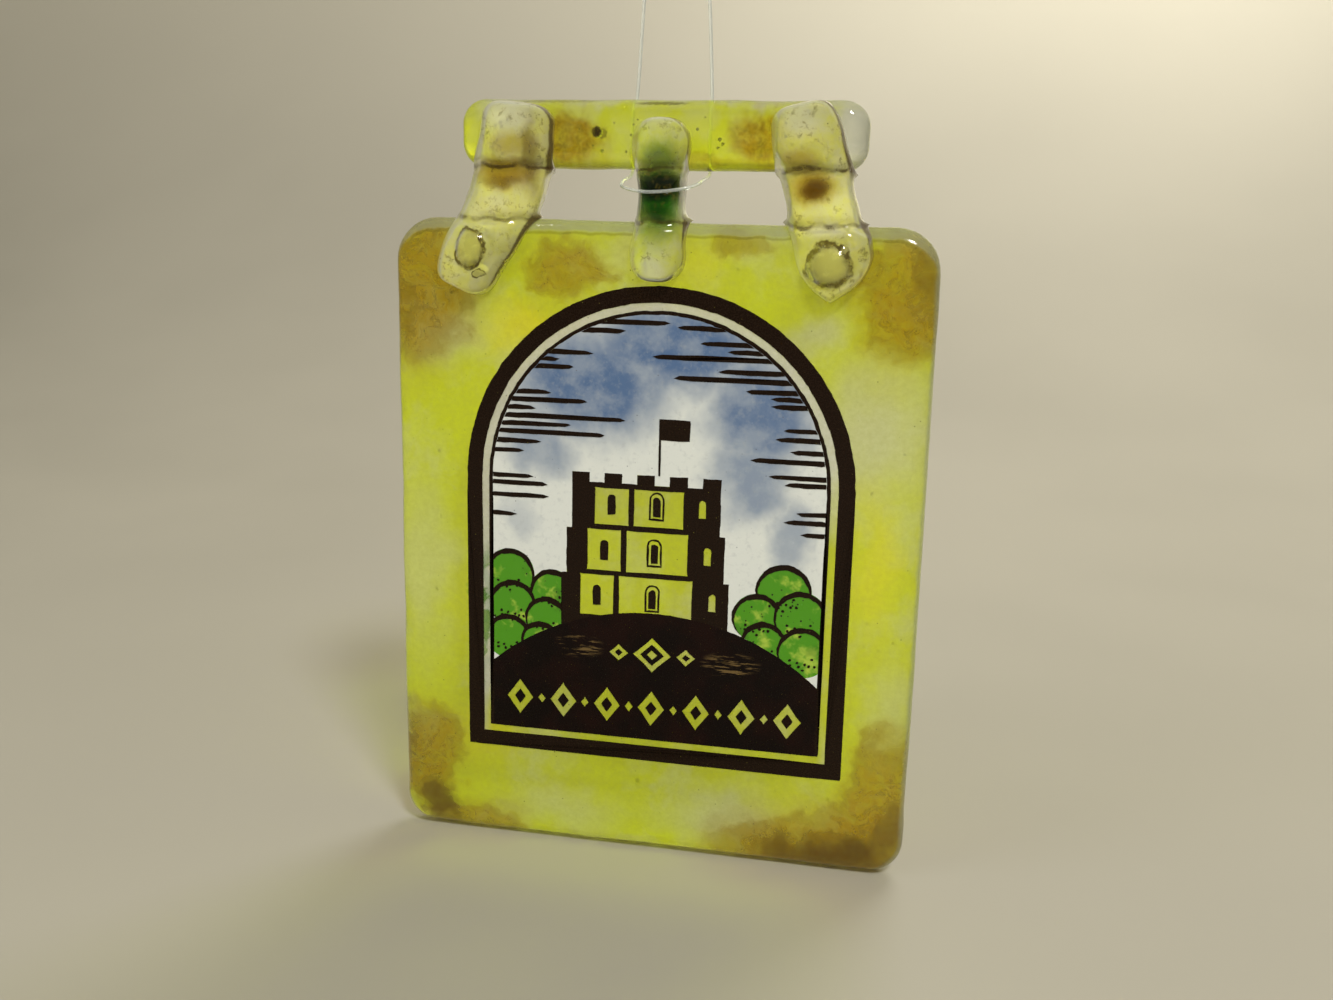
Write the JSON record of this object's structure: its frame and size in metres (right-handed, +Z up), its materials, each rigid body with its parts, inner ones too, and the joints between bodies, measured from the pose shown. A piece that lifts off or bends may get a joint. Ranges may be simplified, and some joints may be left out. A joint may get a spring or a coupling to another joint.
{
  "type": "hanging ornament",
  "caption": "Fused-glass hanging tile with a fired picture, a glass bar held by glass straps, and a loop of clear thread.",
  "frame": {"origin": "hang point: the top of the thread loop, just under its knot, with the glass hanging below", "axes": "+Z up along the hanging direction, +X to the viewer's right across the pane, -Y towards the viewer, out of the printed face"},
  "size_m": [0.06, 0.0077, 0.1266],
  "materials": {
    "stained_glass": "fire-polished, lime-yellow and amber stain, clear rim",
    "bar_glass": "fire-polished, yellow and amber stain, clear upper rim",
    "strap_glass": "fire-polished, bubbled, amber patch over the gap",
    "green_glass": "fire-polished, bubbled, dark green band over the gap",
    "dark_print": "fired enamel, semi-gloss",
    "sky_colour": "translucent fired enamel, blue clouded with white",
    "foliage_colour": "translucent fired enamel",
    "clear_nylon": "clear monofilament"
  },
  "bodies": {
    "knot": {"thread_knot": "clear_nylon"},
    "loop": {"hanging_thread": "clear_nylon"},
    "glass": {"pane": "stained_glass", "top_bar": "bar_glass", "strap_left": "strap_glass", "strap_middle": "green_glass", "strap_right": "strap_glass", "print_border": "dark_print", "print_tower": "dark_print", "print_hill": "dark_print", "print_strokes": "dark_print", "print_bushes": "dark_print", "sky_enamel": "sky_colour", "foliage_enamel": "foliage_colour"}
  },
  "joints": [
    {"name": "loop_turn", "type": "hinge", "parent": "knot", "child": "loop", "pos_m": [0, 0, 0], "axis": [0, 0, 1], "range_deg": [-180, 180]},
    {"name": "glass_tilt", "type": "hinge", "parent": "loop", "child": "glass", "pos_m": [0, 0, -0.0431], "axis": [1, 0, 0], "range_deg": [0, 60]}
  ]
}
